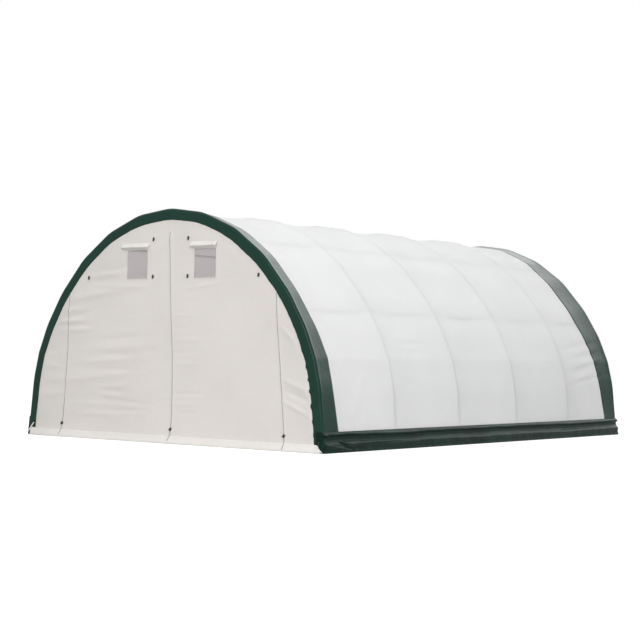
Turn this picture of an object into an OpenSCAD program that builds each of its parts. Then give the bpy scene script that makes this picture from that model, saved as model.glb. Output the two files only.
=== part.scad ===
// Fabric storage shelter: steel arches and purlins under a white cover with green borders.
// Origin on the ground at the middle of the plan. X runs along the front, Y to the rear, Z up.

/* [Shelter] */
// Width over the cover at the ground
shelter_w = 6100; // [4200:50:8000]
// Height over the cover at the ridge
shelter_h = 3600; // [2900:20:4600]
// Length over the trims at both ends
shelter_l = 9140; // [5000:20:12000]

/* [Frame] */
// Number of arches, evenly spaced from end to end
arch_count = 6; // [4:1:8]
// Straight lengths in each half of an arch
facets_per_side = 7; // [5:1:9]
// Share of the quarter ellipse that the leg takes, in degrees of its parameter
leg_angle = 15; // [10:1:20]
// Outer diameter of the arch tubes
arch_tube_d = 42; // [30:1:60]
// Outer diameter of the purlins
purlin_d = 38; // [25:1:50]
// Outer diameter of the rails that hold down the cover's lower edge
rail_d = 34; // [20:1:50]
// Height of the rails' centres
rail_z = 240; // [120:10:400]
// Side of the square foot plates
foot_w = 150; // [100:5:250]
// Thickness of the foot plates
foot_t = 6; // [4:1:12]

/* [Cover] */
// Thickness of the cover
cover_t = 5; // [3:0.5:8]
// Width of the green band round each end of the roof
band_w = 400; // [200:10:700]
// Width of the green trim on each end face
trim_w = 163; // [100:5:260]
// Height of the green skirt along each side
skirt_h = 300; // [150:10:450]

/* [End walls] */
// Thickness of the end walls
wall_t = 5; // [3:0.5:8]
// Height of the hem along the foot of each end wall
hem_h = 70; // [40:5:120]
// Thickness of the hem
hem_t = 2; // [1:0.5:4]
// How far the fabric of the front, with its zips, windows and ties, hangs to the right
front_shift = 54; // [-100:2:100]
// Distance of each side zip from its corner of the shelter, at the ground
side_zip_inset = 745; // [400:5:1200]
// How far each side zip leans inwards, in degrees
side_zip_lean = 4.2; // [0:0.1:8]
// How far below the ridge the middle zip ends
middle_zip_drop = 360; // [250:10:600]
// Width of the zips
zip_w = 26; // [16:1:50]
// Thickness of the zips
zip_t = 3; // [2:0.5:5]

/* [Windows] */
// Width of each window opening
window_w = 430; // [300:10:600]
// Height of each window opening
window_h = 460; // [300:10:600]
// Distance of each window's middle from the middle zip
window_x = 700; // [400:10:1000]
// How far below the ridge each window's middle is
window_drop = 840; // [750:10:1200]
// Thickness of the window mesh
mesh_t = 2; // [1:0.5:4]
// How far each awning reaches past its window at each side
awning_lap = 50; // [20:5:100]
// Height of each awning
awning_h = 130; // [80:5:200]
// How far the lower edge of each awning stands out
awning_out = 60; // [20:5:120]
// Thickness of the awnings
awning_t = 4; // [2:1:8]
// Height of the awnings' upper edges above their windows
awning_rise = 90; // [60:5:150]

/* [Toggles] */
// Length of each toggle
toggle_l = 50; // [30:1:80]
// Diameter of each toggle
toggle_d = 20; // [10:1:30]
// Distance of the inner pairs of toggles from the middle zip
tie_x = 360; // [200:10:420]
// Distance of the outer pair of toggles from the middle zip
outer_tie_x = 1750; // [1300:10:1850]
// How far below the ridge the lower row of toggles is
tie_drop = 1040; // [950:10:1400]
// How far below the ridge the upper row of toggles is
upper_tie_drop = 460; // [350:10:600]
// Height of the toggles at the feet of the zips
zip_toggle_z = 215; // [150:5:400]

/* [Hidden] */
fit_gap = 0.3;
half_w = shelter_w / 2;
front_y = -shelter_l / 2;
rear_y = shelter_l / 2;
big = 20000;
$fn = 48;

// Heights on the front, kept at their distances below the ridge.
middle_zip_top = shelter_h - middle_zip_drop;
window_z = shelter_h - window_drop;
tie_z = shelter_h - tie_drop;
upper_tie_z = shelter_h - upper_tie_drop;

// The front wall lies behind its trim, and the first arch behind the wall.
wall_front_y = front_y + cover_t;
wall_back_y = wall_front_y + wall_t;
arch_inset = cover_t + wall_t + fit_gap + arch_tube_d / 2;
first_arch_y = front_y + arch_inset;
arch_pitch = (shelter_l - 2 * arch_inset) / (arch_count - 1);

// Offsets from the cover's outer face, inwards.
wall_edge = cover_t + fit_gap;
arch_axis = cover_t + fit_gap + arch_tube_d / 2;
arch_inner = arch_axis + arch_tube_d / 2;
purlin_axis = arch_inner + fit_gap + purlin_d / 2;
rail_axis = arch_inner + fit_gap + rail_d / 2;

// Facets of the arch that carry the lower and the upper purlins, counted from the ground,
// and the share of the facet's length where each purlin lies.
lower_purlin_facet = 2;
upper_purlin_facet = 4;
purlin_share = 0.6;

// Corners of the roof's right half on a quarter ellipse, from the ground to the ridge.
step_angle = (90 - leg_angle) / (facets_per_side - 1);
half_corners = [
    for (i = [0 : facets_per_side])
        let (t = i == 0 ? 0 : leg_angle + (i - 1) * step_angle)
            [half_w * cos(t), shelter_h * sin(t)]
];

function unit(v) = v / norm(v);
function inward(a, b) = let (d = unit(b - a)) [-d[1], d[0]];
function reversed(points) = [for (i = [len(points) - 1 : -1 : 0]) points[i]];

// Inward shift of a corner so that both of its facets move in by the same distance.
function corner_shift(before, at, after) =
    let (n = inward(before, at), m = inward(at, after)) (n + m) / (1 + n * m);

// The right half of the roof line, moved in by a distance, from the ground to the ridge.
function half_line(inset) =
    let (
        c = half_corners,
        last = facets_per_side,
        n = inward(c[0], c[1])
    )
    [
        for (i = [0 : last])
            i == 0 ? [c[0][0] + inset / n[0], 0]
            : let (after = i == last ? [-c[last - 1][0], c[last - 1][1]] : c[i + 1])
                c[i] + inset * corner_shift(c[i - 1], c[i], after)
    ];

// The whole roof line from the right foot over the ridge to the left foot.
function roof_line(inset) =
    let (half = half_line(inset))
        concat(half, [for (i = [facets_per_side - 1 : -1 : 0]) [-half[i][0], half[i][1]]]);

// X where the leg facet, moved in by a distance, is at a height.
function leg_x(inset, z) =
    let (half = half_line(inset), slope = (half[1][0] - half[0][0]) / half[1][1])
        half[0][0] + slope * z;

// Distance of a side zip's middle from the middle zip, at a height.
function side_zip_x(z) = half_w - side_zip_inset - z * tan(side_zip_lean);

// Extrudes an outline drawn in X and Z between two places along Y.
module along_y(from_y, to_y) {
    translate([0, to_y, 0])
        rotate([90, 0, 0])
            linear_extrude(to_y - from_y)
                children();
}

// A layer of the roof between two insets, as an outline.
module roof_layer(outer_inset, inner_inset) {
    polygon(concat(roof_line(outer_inset), reversed(roof_line(inner_inset))));
}

// Everything past a point of an arch's plane, on the side that a heading points to.
module beyond(at, heading) {
    translate([at[0], 0, at[1]])
        rotate([0, atan2(heading[0], heading[1]), 0])
            translate([-arch_tube_d, -arch_tube_d, 0])
                cube([2 * arch_tube_d, 2 * arch_tube_d, 3 * arch_tube_d]);
}

// One straight length of an arch's tube, cut at both ends by planes that face along the arch.
module arch_length(from, to, from_facing, to_facing) {
    heading = unit(to - from);
    start = from - heading * arch_tube_d;
    difference() {
        translate([start[0], 0, start[1]])
            rotate([0, atan2(heading[0], heading[1]), 0])
                cylinder(h = norm(to - from) + 2 * arch_tube_d, d = arch_tube_d);
        beyond(from + from_facing * fit_gap / 2, -from_facing);
        beyond(to - to_facing * fit_gap / 2, to_facing);
    }
}

// Straight lengths that meet in mitres a hair apart, with the feet cut level above the plates.
module arch(number) {
    line = roof_line(arch_axis);
    last = len(line) - 1;
    headings = [for (i = [0 : last - 1]) unit(line[i + 1] - line[i])];
    foot_x = leg_x(arch_axis, foot_t);
    cuts = [for (i = [0 : last]) i == 0 ? [foot_x, foot_t] : i == last ? [-foot_x, foot_t] : line[i]];
    facings = concat(
        [[0, 1]],
        [for (i = [1 : last - 1]) unit(headings[i - 1] + headings[i])],
        [[0, -1]]
    );
    color("#a9adb0")
        translate([0, first_arch_y + (number - 1) * arch_pitch, 0])
            for (i = [0 : last - 1])
                arch_length(cuts[i], cuts[i + 1], facings[i], facings[i + 1]);
}

// A tube between the end walls, centred on a point in X and Z.
module long_tube(at, d) {
    start_y = wall_back_y + fit_gap;
    translate([at[0], start_y, at[1]])
        rotate([-90, 0, 0])
            cylinder(h = -2 * start_y, d = d);
}

// The seat of a purlin on the inner side of a facet of the right half.
function purlin_seat(facet) =
    let (line = half_line(purlin_axis), a = line[facet], b = line[facet + 1])
        a + (b - a) * purlin_share;

// The arch's inner side at the ridge is a corner that the purlin lies under.
ridge_seat = [0, half_line(arch_inner)[facets_per_side][1] - fit_gap - purlin_d / 2];

module purlin(at) {
    color("#a9adb0")
        long_tube(at, purlin_d);
}

module ridge_purlin() {
    purlin(ridge_seat);
}

module upper_purlin(side) {
    seat = purlin_seat(upper_purlin_facet);
    purlin([side * seat[0], seat[1]]);
}

module lower_purlin(side) {
    seat = purlin_seat(lower_purlin_facet);
    purlin([side * seat[0], seat[1]]);
}

module cover_rail(side) {
    color("#a9adb0")
        long_tube([side * leg_x(rail_axis, rail_z), rail_z], rail_d);
}

module foot_plates(side) {
    outer_x = leg_x(cover_t, foot_t) - fit_gap;
    centre_x = outer_x - foot_w / 2;
    color("#8f9497")
        for (i = [0 : arch_count - 1]) {
            // The plates at both ends stay inside the end walls.
            y = first_arch_y + i * arch_pitch;
            limit = -wall_back_y - fit_gap - foot_w / 2;
            translate([side * centre_x, min(limit, max(-limit, y)), foot_t / 2])
                cube([foot_w, foot_w, foot_t], center = true);
        }
}

// The part of a roof layer that is above the skirts.
module above_skirts() {
    intersection() {
        children();
        translate([-big / 2, skirt_h])
            square(big);
    }
}

module roof_cover() {
    color("#f1f1ef")
        along_y(front_y + cover_t + band_w, rear_y - cover_t - band_w)
            above_skirts()
                roof_layer(0, cover_t);
}

module front_roof_band() {
    color("#2f4a41")
        along_y(front_y + cover_t, front_y + cover_t + band_w)
            above_skirts()
                roof_layer(0, cover_t);
}

module rear_roof_band() {
    color("#2f4a41")
        along_y(rear_y - cover_t - band_w, rear_y - cover_t)
            above_skirts()
                roof_layer(0, cover_t);
}

module front_trim() {
    color("#2f4a41")
        along_y(front_y, front_y + cover_t)
            roof_layer(0, trim_w);
}

module rear_trim() {
    color("#2f4a41")
        along_y(rear_y - cover_t, rear_y)
            roof_layer(0, trim_w);
}

module skirt(side) {
    color("#2f4a41")
        along_y(front_y + cover_t, rear_y - cover_t)
            polygon([
                [side * leg_x(0, 0), 0],
                [side * leg_x(0, skirt_h), skirt_h],
                [side * leg_x(cover_t, skirt_h), skirt_h],
                [side * leg_x(cover_t, 0), 0]
            ]);
}

// The whole end wall as an outline.
module wall_outline() {
    polygon(roof_line(wall_edge));
}

// Everything on one side of a side zip's middle line, as an outline.
module beyond_side_zip(side) {
    polygon([
        [front_shift + side * side_zip_x(0), 0],
        [front_shift + side * side_zip_x(shelter_h), shelter_h],
        [side * shelter_w, shelter_h],
        [side * shelter_w, 0]
    ]);
}

module side_panel(side) {
    color("#dddad5")
        along_y(wall_front_y, wall_back_y)
            intersection() {
                wall_outline();
                beyond_side_zip(side);
            }
}

module window_outline(side, margin) {
    translate([front_shift + side * window_x, window_z])
        square([window_w - 2 * margin, window_h - 2 * margin], center = true);
}

module door_panel(side) {
    color("#dddad5")
        along_y(wall_front_y, wall_back_y)
            difference() {
                intersection() {
                    wall_outline();
                    translate([front_shift + (side > 0 ? 0 : -shelter_w), 0])
                        square([shelter_w, middle_zip_top]);
                }
                beyond_side_zip(side);
                window_outline(side, 0);
            }
}

module front_header() {
    color("#dddad5")
        along_y(wall_front_y, wall_back_y)
            intersection() {
                wall_outline();
                translate([-shelter_w / 2, middle_zip_top])
                    square([shelter_w, shelter_h]);
            }
}

module rear_wall() {
    color("#dddad5")
        along_y(-wall_back_y, -wall_front_y)
            wall_outline();
}

// The part of an outline that shows inside the trim, between two heights.
module inside_trim(from_z, to_z) {
    intersection() {
        children();
        polygon(roof_line(trim_w + fit_gap));
        translate([-shelter_w / 2, from_z])
            square([shelter_w, to_z - from_z]);
    }
}

module hem_outline() {
    inside_trim(0, hem_h)
        wall_outline();
}

module front_hem() {
    color("#cfccc7")
        along_y(wall_front_y - hem_t, wall_front_y)
            hem_outline();
}

module rear_hem() {
    color("#cfccc7")
        along_y(-wall_front_y, -wall_front_y + hem_t)
            hem_outline();
}

// A zip in front of the wall from the hem up to a height. Its middle line goes through one place
// at the ground and another at the height of the ridge, both counted from the middle zip.
module zip_strip(foot_x, ridge_x, end_z) {
    color("#b9b8b6")
        along_y(wall_front_y - zip_t, wall_front_y)
            inside_trim(hem_h, end_z)
                translate([front_shift, 0])
                    polygon([
                        [foot_x - zip_w / 2, 0],
                        [foot_x + zip_w / 2, 0],
                        [ridge_x + zip_w / 2, shelter_h],
                        [ridge_x - zip_w / 2, shelter_h]
                    ]);
}

module side_zip(side) {
    zip_strip(side * side_zip_x(0), side * side_zip_x(shelter_h), shelter_h);
}

module middle_zip() {
    zip_strip(0, 0, middle_zip_top);
}

module window_mesh(side) {
    color("#c6c0bd")
        along_y(wall_back_y - mesh_t, wall_back_y)
            window_outline(side, fit_gap);
}

// An awning hangs from its upper edge on the wall and leans out.
module window_awning(side) {
    top_z = window_z + window_h / 2 + awning_rise;
    awning_w = window_w + 2 * awning_lap;
    color("#f1f1ef")
        translate([front_shift + side * window_x - awning_w / 2, wall_front_y, top_z])
            rotate([90, 0, 90])
                linear_extrude(awning_w)
                    polygon([
                        [0, 0],
                        [-awning_out, -awning_h],
                        [-awning_out - awning_t, -awning_h],
                        [-awning_t, 0]
                    ]);
}

// A toggle stands upright in front of the wall, clear of it by a stand-off. X counts from the
// middle zip.
module toggle(x, z, stand_off) {
    translate([front_shift + x, wall_front_y - stand_off - fit_gap - toggle_d / 2, z - toggle_l / 2])
        cylinder(h = toggle_l, d = toggle_d);
}

module door_toggles() {
    color("#1c1d1e") {
        for (side = [-1, 1]) {
            toggle(side * tie_x, tie_z, 0);
            toggle(side * tie_x, upper_tie_z, 0);
            toggle(side * outer_tie_x, tie_z, 0);
            toggle(side * side_zip_x(zip_toggle_z), zip_toggle_z, zip_t);
        }
        toggle(0, zip_toggle_z, zip_t);
    }
}

for (i = [1 : arch_count])
    arch(i);
ridge_purlin();
upper_purlin(-1);  // left_upper_purlin
lower_purlin(-1);  // left_lower_purlin
upper_purlin(1);  // right_upper_purlin
lower_purlin(1);  // right_lower_purlin
cover_rail(-1);  // left_cover_rail
cover_rail(1);  // right_cover_rail
foot_plates(-1);  // left_foot_plates
foot_plates(1);  // right_foot_plates
roof_cover();
front_roof_band();
rear_roof_band();
front_trim();
rear_trim();
skirt(-1);  // left_skirt
skirt(1);  // right_skirt
side_panel(-1);  // left_side_panel
side_panel(1);  // right_side_panel
door_panel(-1);  // left_door_panel
door_panel(1);  // right_door_panel
front_header();
rear_wall();
front_hem();
rear_hem();
side_zip(-1);  // left_zip
middle_zip();
side_zip(1);  // right_zip
window_mesh(-1);  // left_window_mesh
window_mesh(1);  // right_window_mesh
window_awning(-1);  // left_window_awning
window_awning(1);  // right_window_awning
door_toggles();
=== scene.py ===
import math
from functools import partial

import bmesh
import bpy
import numpy as np
from mathutils import Matrix, Vector


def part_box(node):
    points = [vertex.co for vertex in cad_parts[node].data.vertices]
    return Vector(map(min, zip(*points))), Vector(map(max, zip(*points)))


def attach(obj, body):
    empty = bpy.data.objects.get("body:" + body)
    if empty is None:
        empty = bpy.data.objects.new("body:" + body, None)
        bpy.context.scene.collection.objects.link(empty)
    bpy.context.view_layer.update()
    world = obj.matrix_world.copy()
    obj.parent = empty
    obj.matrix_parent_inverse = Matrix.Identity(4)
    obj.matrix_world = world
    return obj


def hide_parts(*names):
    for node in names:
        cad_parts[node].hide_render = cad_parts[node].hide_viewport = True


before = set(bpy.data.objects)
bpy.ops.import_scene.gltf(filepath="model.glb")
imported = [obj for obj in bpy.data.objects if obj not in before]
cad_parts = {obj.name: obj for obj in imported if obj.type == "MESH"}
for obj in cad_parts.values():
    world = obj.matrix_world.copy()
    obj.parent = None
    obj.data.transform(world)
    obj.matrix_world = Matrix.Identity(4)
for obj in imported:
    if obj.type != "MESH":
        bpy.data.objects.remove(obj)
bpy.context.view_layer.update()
bpy.ops.object.select_all(action="DESELECT")
print("frame loaded")


cameraSet = {
    "place": (16.668, -22.674, 1.451), "yaw": 37.16, "pitch": 1.13, "roll": 1.07, "lens": 89.71
}
lampSet = {
    "sky": 0.5,
    "horizon": 0.9,  # share of the overhead light that comes from the horizon
    "keyPower": 11000,
    "keyPlace": (19.0, -30.0, 18.0),  # a wide soft lamp at the front right
    "keyAim": (1.5, -1.5, 1.6),
    "keySize": 26,
    "backStrength": 0.5,
    "sheenStrength": 1.5,  # seen only in gloss, for the sheen on the green border
    "backTurn": (-54, 0, 16),
    "sheenTurn": (-53, 0, -5),
    "softness": 60,
    "floorGlow": 0.76,
}


def hexToLinear(text):
    values = []
    for i in (0, 2, 4):
        c = int(text[i : i + 2], 16) / 255
        values.append(c / 12.92 if c <= 0.04045 else ((c + 0.055) / 1.055) ** 2.4)
    return (*values, 1.0)


def addNode(tree, kind, settings=None, inputs=None, links=None):
    # settings are node properties, inputs plain socket values, and links join a socket to an
    # output, or to a node's first output where only the node is given
    node = tree.nodes.new("ShaderNode" + kind)
    for key, value in (settings or {}).items():
        setattr(node, key, value)
    for key, value in (inputs or {}).items():
        node.inputs[key].default_value = value
    for key, source in (links or {}).items():
        output = source.outputs[0] if isinstance(source, bpy.types.Node) else source
        tree.links.new(output, node.inputs[key])
    return node


def newMaterial(name):
    material = bpy.data.materials.new(name)
    material.use_nodes = True
    tree = material.node_tree
    tree.nodes.clear()
    return material, tree


def linkObject(name, data):
    piece = bpy.data.objects.new(name, data)
    bpy.context.scene.collection.objects.link(piece)
    return piece


def makeCamera():
    data = bpy.data.cameras.new("camera")
    data.lens = cameraSet["lens"]
    data.clip_end = 300
    camera = linkObject("camera", data)
    turn = (
        Matrix.Rotation(math.radians(cameraSet["yaw"]), 4, "Z")
        @ Matrix.Rotation(math.radians(90 + cameraSet["pitch"]), 4, "X")
        @ Matrix.Rotation(math.radians(cameraSet["roll"]), 4, "Z")
    )
    camera.matrix_world = Matrix.Translation(cameraSet["place"]) @ turn
    bpy.context.scene.camera = camera


def makeBackLamp(name, strength, turn):
    data = bpy.data.lights.new(name, "SUN")
    data.energy = strength
    data.angle = math.radians(lampSet["softness"])
    lamp = linkObject(name, data)
    lamp.rotation_euler = [math.radians(a) for a in turn]
    return lamp


def makeKeyLamp():
    data = bpy.data.lights.new("key light", "AREA")
    data.energy = lampSet["keyPower"]
    data.size = lampSet["keySize"]
    lamp = linkObject("key light", data)
    lamp.location = lampSet["keyPlace"]
    aim = Vector(lampSet["keyAim"]) - lamp.location
    lamp.rotation_euler = aim.to_track_quat("-Z", "Y").to_euler()
    lamp.visible_camera = False


def backdropRays(tree):
    path = addNode(tree, "LightPath")
    straight = addNode(
        tree, "Math", {"operation": "MAXIMUM"},
        links={0: path.outputs["Is Camera Ray"], 1: path.outputs["Is Transmission Ray"]},
    )
    seen = addNode(
        tree, "Math", {"operation": "MAXIMUM"}, links={0: straight, 1: path.outputs["Is Glossy Ray"]},
    )
    return seen


def makeWorld():
    world = bpy.data.worlds.new("studio")
    bpy.context.scene.world = world
    world.use_nodes = True
    tree = world.node_tree
    tree.nodes.clear()
    white = addNode(tree, "Background", inputs={"Color": (1, 1, 1, 1), "Strength": 1.0})
    place = addNode(tree, "TexCoord")
    parts = addNode(tree, "SeparateXYZ", links={0: place.outputs["Generated"]})
    rise = addNode(
        tree, "MapRange",
        inputs={"To Min": lampSet["sky"] * lampSet["horizon"], "To Max": lampSet["sky"]},
        links={"Value": parts.outputs["Z"]},
    )
    sky = addNode(tree, "Background", inputs={"Color": hexToLinear("FAFCFF")}, links={"Strength": rise})
    mix = addNode(tree, "MixShader", links={0: backdropRays(tree), 1: sky, 2: white})
    addNode(tree, "OutputWorld", links={"Surface": mix})


def makeFloor():
    bpy.ops.mesh.primitive_plane_add(size=160, location=(0, 0, -0.001))
    floor = bpy.context.object
    floor.name = "floor"
    bpy.ops.object.transform_apply()
    material, tree = newMaterial("pale studio floor")
    paint = addNode(tree, "BsdfDiffuse", inputs={"Color": hexToLinear("B8B8B6")})
    glow = addNode(tree, "Emission", inputs={"Color": (1, 1, 1, 1), "Strength": lampSet["floorGlow"]})
    # lifted to the white of the backdrop where it is seen, with its shadow kept
    lift = addNode(tree, "AddShader", links={0: paint, 1: glow})
    mix = addNode(tree, "MixShader", links={0: backdropRays(tree), 1: paint, 2: lift})
    addNode(tree, "OutputMaterial", links={"Surface": mix})
    floor.data.materials.append(material)


makeCamera()
makeWorld()
makeKeyLamp()
makeBackLamp("back light", lampSet["backStrength"], lampSet["backTurn"])
sheenLamp = makeBackLamp("sheen light", lampSet["sheenStrength"], lampSet["sheenTurn"])
sheenLamp.visible_diffuse = False
sheenLamp.visible_transmission = False
makeFloor()
bpy.context.scene.view_settings.view_transform = "Standard"
print("camera, lamps and floor made")


weaveSet = {"tape": 0.009, "depth": 0.0006}


def wovenCoatedCloth(
    name,
    shade,
    deepShade,
    roughness,
    through,
    specular=0.5,
    soilHeight=0.0,
    wrinkle=0.004,
):
    # Polyethylene cloth: flat tapes woven plainly and coated on both sides.
    material, tree = newMaterial(name)
    uv = addNode(tree, "UVMap", {"uv_map": "clothMap"})
    # tapes about 2 mm wide on the real cloth, each drawn 9 mm wide so that they can show
    waves = []
    for direction in ("X", "Y"):
        wave = addNode(
            tree, "TexWave", {"bands_direction": direction},
            {"Scale": math.pi / (20 * weaveSet["tape"])}, {"Vector": uv},
        )
        waves.append(wave)
    crossing = addNode(
        tree, "Math", {"operation": "MULTIPLY"},
        links={0: waves[0].outputs["Fac"], 1: waves[1].outputs["Fac"]},
    )
    slow = addNode(tree, "TexNoise", inputs={"Scale": 0.9, "Detail": 3.0}, links={"Vector": uv})
    fine = addNode(
        tree, "TexNoise", inputs={"Scale": 14.0, "Detail": 5.0, "Roughness": 0.6, "Distortion": 0.6},
        links={"Vector": uv},
    )
    tone = addNode(
        tree, "Math", {"operation": "MULTIPLY_ADD", "use_clamp": True}, {1: 0.25},
        {0: fine.outputs["Fac"], 2: slow.outputs["Fac"]},
    )
    spread = addNode(
        tree, "MapRange", inputs={"From Min": 0.4, "From Max": 0.85}, links={"Value": tone},
    )
    colour = addNode(
        tree, "Mix", {"data_type": "RGBA"}, {6: hexToLinear(shade), 7: hexToLinear(deepShade)},
        {0: spread},
    )
    last = colour.outputs[2]
    if soilHeight:
        place = addNode(tree, "TexCoord")
        parts = addNode(tree, "SeparateXYZ", links={0: place.outputs["Object"]})
        near = addNode(
            tree, "MapRange", {"interpolation_type": "SMOOTHSTEP"},
            {"From Max": soilHeight, "To Min": 0.35, "To Max": 0.0}, {"Value": parts.outputs["Z"]},
        )
        speck = addNode(
            tree, "Math", {"operation": "MULTIPLY"}, links={0: near, 1: fine.outputs["Fac"]},
        )
        soil = addNode(
            tree, "Mix", {"data_type": "RGBA"}, {7: hexToLinear("A79F90")}, {0: speck, 6: last},
        )
        last = soil.outputs[2]
    shine = addNode(
        tree, "MapRange", inputs={"To Min": roughness - 0.05, "To Max": roughness + 0.09},
        links={"Value": fine.outputs["Fac"]},
    )
    creases = addNode(
        tree, "TexNoise", inputs={"Scale": 3.2, "Detail": 4.0, "Roughness": 0.55, "Distortion": 1.2},
        links={"Vector": uv},
    )
    bigBump = addNode(
        tree, "Bump", inputs={"Strength": 0.6, "Distance": wrinkle},
        links={"Height": creases.outputs["Fac"]},
    )
    bump = addNode(
        tree, "Bump", inputs={"Strength": 0.5, "Distance": weaveSet["depth"]},
        links={"Height": crossing, "Normal": bigBump},
    )
    cloth = addNode(
        tree, "BsdfPrincipled", inputs={"IOR": 1.5, "Specular IOR Level": specular},
        links={"Base Color": last, "Roughness": shine, "Normal": bump},
    )
    surface = cloth
    if through:
        glowing = addNode(tree, "BsdfTranslucent", links={"Color": last, "Normal": bump})
        surface = addNode(tree, "MixShader", inputs={0: through}, links={1: cloth, 2: glowing})
    addNode(tree, "OutputMaterial", links={"Surface": surface})
    return material


def galvanisedSteel():
    # Hot-dip galvanised steel tube: matt grey zinc with a faint spangle of crystals.
    material, tree = newMaterial("galvanised steel")
    place = addNode(tree, "TexCoord")
    # crystals of about 11 mm
    spangle = addNode(
        tree, "TexVoronoi", inputs={"Scale": 90.0}, links={"Vector": place.outputs["Object"]}
    )
    cloud = addNode(
        tree, "TexNoise", inputs={"Scale": 6.0, "Detail": 4.0},
        links={"Vector": place.outputs["Object"]},
    )
    tone = addNode(
        tree, "Math", {"operation": "MULTIPLY"},
        links={0: spangle.outputs["Distance"], 1: cloud.outputs["Fac"]},
    )
    colour = addNode(
        tree, "Mix", {"data_type": "RGBA"}, {6: hexToLinear("A9ADAF"), 7: hexToLinear("7E8386")},
        {0: tone},
    )
    rough = addNode(
        tree, "MapRange", inputs={"To Min": 0.38, "To Max": 0.58},
        links={"Value": cloud.outputs["Fac"]},
    )
    metal = addNode(
        tree, "BsdfPrincipled", inputs={"Metallic": 1.0},
        links={"Base Color": colour.outputs[2], "Roughness": rough},
    )
    addNode(tree, "OutputMaterial", links={"Surface": metal})
    return material


def mouldedBlack():
    # Moulded nylon and woven elastic: near black, faintly grained, half matt.
    material, tree = newMaterial("black moulded nylon")
    place = addNode(tree, "TexCoord")
    grain = addNode(
        tree, "TexNoise", inputs={"Scale": 420.0, "Detail": 3.0},
        links={"Vector": place.outputs["Object"]},
    )
    bump = addNode(
        tree, "Bump", inputs={"Strength": 0.3, "Distance": 0.0006},
        links={"Height": grain.outputs["Fac"]},
    )
    colour = addNode(
        tree, "Mix", {"data_type": "RGBA"}, {6: hexToLinear("141516"), 7: hexToLinear("242526")},
        {0: grain.outputs["Fac"]},
    )
    body = addNode(
        tree, "BsdfPrincipled", inputs={"Roughness": 0.48, "IOR": 1.53},
        links={"Base Color": colour.outputs[2], "Normal": bump},
    )
    addNode(tree, "OutputMaterial", links={"Surface": body})
    return material


zipSet = {
    "tapeHalf": 0.013,
    "halfWidth": 0.011,
    "profile": ((-1, 0), (-0.4, 0.0004), (-0.27, 0.0026), (0, 0.0036), (0.27, 0.0026), (0.4, 0.0004), (1, 0)),
    "toothWidth": 0.005,
    "coilInner": 0.0035,
    "coilOuter": 0.0045,
    "rows": 130,
    "stand": 0.0016,  # off the wall
    "overHem": 0.005,  # further out where it crosses the hem
    "hemTop": 0.12,
    "outerEnd": 2.4,  # height up to which the outer zips raise the wall
    "middleEnd": 3.22,
}


def zipTapeCloth():
    # Polyester zip tape with a moulded coil down its middle: grey, ribbed by its teeth. Real teeth
    # are about 2 mm apart; here tooth and gap are 5 mm each, so that they can show.
    material, tree = newMaterial("grey zip tape")
    uv = addNode(tree, "UVMap", {"uv_map": "clothMap"})
    parts = addNode(tree, "SeparateXYZ", links={0: uv})
    teeth = addNode(
        tree, "TexWave", {"bands_direction": "Y"}, {"Scale": math.pi / (20 * zipSet["toothWidth"])},
        {"Vector": uv},
    )
    side = addNode(tree, "Math", {"operation": "ABSOLUTE"}, links={0: parts.outputs["X"]})
    coil = addNode(
        tree, "MapRange", inputs={"From Min": zipSet["coilOuter"], "From Max": zipSet["coilInner"]},
        links={"Value": side},
    )
    colour = addNode(
        tree, "Mix", {"data_type": "RGBA"}, {6: hexToLinear("C6C4BF"), 7: hexToLinear("9C9B97")},
        {0: coil},
    )
    height = addNode(tree, "Math", {"operation": "MULTIPLY"}, links={0: teeth.outputs["Fac"], 1: coil})
    bump = addNode(tree, "Bump", inputs={"Strength": 0.8, "Distance": 0.001}, links={"Height": height})
    body = addNode(
        tree, "BsdfPrincipled", inputs={"Roughness": 0.6, "IOR": 1.5},
        links={"Base Color": colour.outputs[2], "Normal": bump},
    )
    addNode(tree, "OutputMaterial", links={"Surface": body})
    return material


def meshThread():
    # Vinyl-coated polyester thread of the window mesh: soft grey, half matt.
    material, tree = newMaterial("window mesh thread")
    place = addNode(tree, "TexCoord")
    cloud = addNode(
        tree, "TexNoise", inputs={"Scale": 9.0, "Detail": 3.0},
        links={"Vector": place.outputs["Object"]},
    )
    colour = addNode(
        tree, "Mix", {"data_type": "RGBA"}, {6: hexToLinear("B9AEAF"), 7: hexToLinear("ABA0A1")},
        {0: cloud.outputs["Fac"]},
    )
    body = addNode(
        tree, "BsdfPrincipled", inputs={"Roughness": 0.55, "IOR": 1.5},
        links={"Base Color": colour.outputs[2]},
    )
    addNode(tree, "OutputMaterial", links={"Surface": body})
    return material


whiteRoof = wovenCoatedCloth(
    "white coated roof cloth", "F4F4F4", "EFEFEF", 0.55, 0.28, specular=0.15, soilHeight=0.3, wrinkle=0.006
)
wallCloth = wovenCoatedCloth(
    "white coated wall cloth", "EBE6E1", "E4DFDA", 0.52, 0.34, soilHeight=0.08, wrinkle=0.007
)
# lighter than the wall cloth: partly the doubled cloth, partly painted light for the flared hem catching the
# sky; the awnings and the strap use it too
hemCloth = wovenCoatedCloth("white hem, two layers, painted lighter", "F1EEEA", "EAE7E2", 0.5, 0.2, soilHeight=0.03)
greenCloth = wovenCoatedCloth(
    "dark green coated cloth", "13362C", "0E2D24", 0.32, 0.0, specular=0.15, wrinkle=0.01
)
# painted shade: the skirt's cloth is a darker copy of the green cloth, standing in for the light it misses
# from below
skirtCloth = wovenCoatedCloth(
    "dark green coated cloth, painted darker for shade", "0B2E24", "04170F", 0.38, 0.0, specular=0.08, wrinkle=0.012
)
steel = galvanisedSteel()
blackNylon = mouldedBlack()
zipTape = zipTapeCloth()
thread = meshThread()
print("materials made")


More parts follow.
